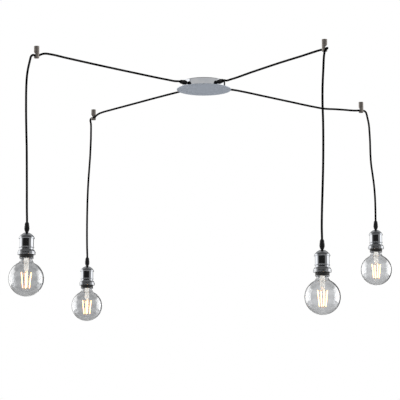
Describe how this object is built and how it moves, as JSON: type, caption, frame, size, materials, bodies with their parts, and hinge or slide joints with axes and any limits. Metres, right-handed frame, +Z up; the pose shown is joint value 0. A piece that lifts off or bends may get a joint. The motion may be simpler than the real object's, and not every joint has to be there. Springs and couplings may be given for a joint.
{
  "type": "pendant light with swagged cords",
  "caption": "Ceiling light whose bare globe bulbs hang on long black textile cords, swagged from one round canopy over slotted ceiling hooks",
  "frame": {"origin": "middle of the bracket's upper face, where the ceiling and the canopy's axis meet", "axes": "+Z up, along the canopy's axis and out of the ceiling mount. +Y away from the picture's camera, +X to the picture's right"},
  "size_m": [1.0999, 1.0568, 0.7455],
  "materials": {
    "zinc_steel": "zinc plated",
    "polished_metal": "polished, mirror-like",
    "satin_grey": "satin grey",
    "satin_nickel": "satin nickel",
    "black_plastic": "moulded, matt",
    "black_textile": "braided textile sleeve",
    "white_plastic": "moulded",
    "dark_insert": "moulded, heat resistant",
    "nickel_cap": "nickel plated",
    "contact_metal": "tinned",
    "clear_glass": "clear",
    "led_filament": "lit filament sticks on a glass stem"
  },
  "bodies": {
    "canopy": {"ceiling_bracket": "zinc_steel", "canopy_body": "polished_metal", "canopy_disc": "satin_grey", "terminal_block": "white_plastic", "canopy_gland_1": "black_plastic", "canopy_gland_2": "black_plastic", "canopy_gland_3": "black_plastic", "canopy_gland_4": "black_plastic", "ceiling_hook_1": "satin_nickel", "ceiling_hook_2": "satin_nickel", "ceiling_hook_3": "satin_nickel", "ceiling_hook_4": "satin_nickel", "arm_cord_1": "black_textile", "arm_cord_2": "black_textile", "arm_cord_3": "black_textile", "arm_cord_4": "black_textile"},
    "cord_swing_1": {"cord_link_1": "black_textile"},
    "pendant_1": {"drop_cord_1": "black_textile", "holder_gland_1": "black_plastic", "holder_cap_1": "polished_metal", "holder_sleeve_1": "polished_metal", "socket_insert_1": "dark_insert"},
    "ring_1": {"holder_ring_1": "polished_metal"},
    "bulb_tip_1": {"bulb_contact_1": "contact_metal"},
    "bulb_1": {"bulb_cap_1": "nickel_cap", "bulb_globe_1": "clear_glass", "bulb_stem_1": "led_filament"},
    "cord_swing_2": {"cord_link_2": "black_textile"},
    "pendant_2": {"drop_cord_2": "black_textile", "holder_gland_2": "black_plastic", "holder_cap_2": "polished_metal", "holder_sleeve_2": "polished_metal", "socket_insert_2": "dark_insert"},
    "ring_2": {"holder_ring_2": "polished_metal"},
    "bulb_tip_2": {"bulb_contact_2": "contact_metal"},
    "bulb_2": {"bulb_cap_2": "nickel_cap", "bulb_globe_2": "clear_glass", "bulb_stem_2": "led_filament"},
    "cord_swing_3": {"cord_link_3": "black_textile"},
    "pendant_3": {"drop_cord_3": "black_textile", "holder_gland_3": "black_plastic", "holder_cap_3": "polished_metal", "holder_sleeve_3": "polished_metal", "socket_insert_3": "dark_insert"},
    "ring_3": {"holder_ring_3": "polished_metal"},
    "bulb_tip_3": {"bulb_contact_3": "contact_metal"},
    "bulb_3": {"bulb_cap_3": "nickel_cap", "bulb_globe_3": "clear_glass", "bulb_stem_3": "led_filament"},
    "cord_swing_4": {"cord_link_4": "black_textile"},
    "pendant_4": {"drop_cord_4": "black_textile", "holder_gland_4": "black_plastic", "holder_cap_4": "polished_metal", "holder_sleeve_4": "polished_metal", "socket_insert_4": "dark_insert"},
    "ring_4": {"holder_ring_4": "polished_metal"},
    "bulb_tip_4": {"bulb_contact_4": "contact_metal"},
    "bulb_4": {"bulb_cap_4": "nickel_cap", "bulb_globe_4": "clear_glass", "bulb_stem_4": "led_filament"}
  },
  "joints": [
    {"name": "pendant_1_sideways", "type": "hinge", "parent": "canopy", "child": "cord_swing_1", "pos_m": [-0.45698, -0.437, -0.026], "axis": [-0.7152, -0.699, 0], "range_deg": [-30, 30]},
    {"name": "pendant_1_outwards", "type": "hinge", "parent": "cord_swing_1", "child": "pendant_1", "pos_m": [-0.47758, -0.45713, -0.066], "axis": [-0.699, 0.7152, 0], "range_deg": [-30, 30]},
    {"name": "ring_1_down", "type": "slide", "parent": "pendant_1", "child": "ring_1", "axis": [0, 0, 1], "range_m": [-0.009, 0]},
    {"name": "bulb_1_travel", "type": "slide", "parent": "pendant_1", "child": "bulb_tip_1", "axis": [0, 0, 1], "range_m": [-0.01815, 0]},
    {"name": "bulb_1_turn", "type": "hinge", "parent": "bulb_tip_1", "child": "bulb_1", "pos_m": [-0.47479, -0.45441, -0.64], "axis": [0, 0, 1], "range_deg": [-1800, 0]},
    {"name": "pendant_2_sideways", "type": "hinge", "parent": "canopy", "child": "cord_swing_2", "pos_m": [-0.34802, 0.40304, -0.026], "axis": [-0.6558, 0.755, 0], "range_deg": [-30, 30]},
    {"name": "pendant_2_outwards", "type": "hinge", "parent": "cord_swing_2", "child": "pendant_2", "pos_m": [-0.3567, 0.42265, -0.066], "axis": [0.755, 0.6558, 0], "range_deg": [-30, 30]},
    {"name": "ring_2_down", "type": "slide", "parent": "pendant_2", "child": "ring_2", "axis": [0, 0, 1], "range_m": [-0.009, 0]},
    {"name": "bulb_2_travel", "type": "slide", "parent": "pendant_2", "child": "bulb_tip_2", "axis": [0, 0, 1], "range_m": [-0.01815, 0]},
    {"name": "bulb_2_turn", "type": "hinge", "parent": "bulb_tip_2", "child": "bulb_2", "pos_m": [-0.36474, 0.42229, -0.6205], "axis": [0, 0, 1], "range_deg": [-1800, 0]},
    {"name": "pendant_3_sideways", "type": "hinge", "parent": "canopy", "child": "cord_swing_3", "pos_m": [0.32297, -0.51406, -0.026], "axis": [0.5167, -0.8562, 0], "range_deg": [-30, 30]},
    {"name": "pendant_3_outwards", "type": "hinge", "parent": "cord_swing_3", "child": "pendant_3", "pos_m": [0.31844, -0.54004, -0.066], "axis": [-0.8562, -0.5167, 0], "range_deg": [-30, 30]},
    {"name": "ring_3_down", "type": "slide", "parent": "pendant_3", "child": "ring_3", "axis": [0, 0, 1], "range_m": [-0.009, 0]},
    {"name": "bulb_3_travel", "type": "slide", "parent": "pendant_3", "child": "bulb_tip_3", "axis": [0, 0, 1], "range_m": [-0.01815, 0]},
    {"name": "bulb_3_turn", "type": "hinge", "parent": "bulb_tip_3", "child": "bulb_3", "pos_m": [0.30923, -0.53987, -0.698], "axis": [0, 0, 1], "range_deg": [-1800, 0]},
    {"name": "pendant_4_sideways", "type": "hinge", "parent": "canopy", "child": "cord_swing_4", "pos_m": [0.48804, 0.29001, -0.026], "axis": [0.8618, 0.5072, 0], "range_deg": [-30, 30]},
    {"name": "pendant_4_outwards", "type": "hinge", "parent": "cord_swing_4", "child": "pendant_4", "pos_m": [0.51269, 0.30451, -0.066], "axis": [0.5072, -0.8618, 0], "range_deg": [-30, 30]},
    {"name": "ring_4_down", "type": "slide", "parent": "pendant_4", "child": "ring_4", "axis": [0, 0, 1], "range_m": [-0.009, 0]},
    {"name": "bulb_4_travel", "type": "slide", "parent": "pendant_4", "child": "bulb_tip_4", "axis": [0, 0, 1], "range_m": [-0.01815, 0]},
    {"name": "bulb_4_turn", "type": "hinge", "parent": "bulb_tip_4", "child": "bulb_4", "pos_m": [0.53044, 0.31496, -0.521], "axis": [0, 0, 1], "range_deg": [-1800, 0]}
  ],
  "couplings": [
    {"joint": "bulb_1_turn", "follows": "bulb_1_travel", "rad_per_m": 1730.9},
    {"joint": "bulb_2_turn", "follows": "bulb_2_travel", "rad_per_m": 1730.9},
    {"joint": "bulb_3_turn", "follows": "bulb_3_travel", "rad_per_m": 1730.9},
    {"joint": "bulb_4_turn", "follows": "bulb_4_travel", "rad_per_m": 1730.9}
  ]
}
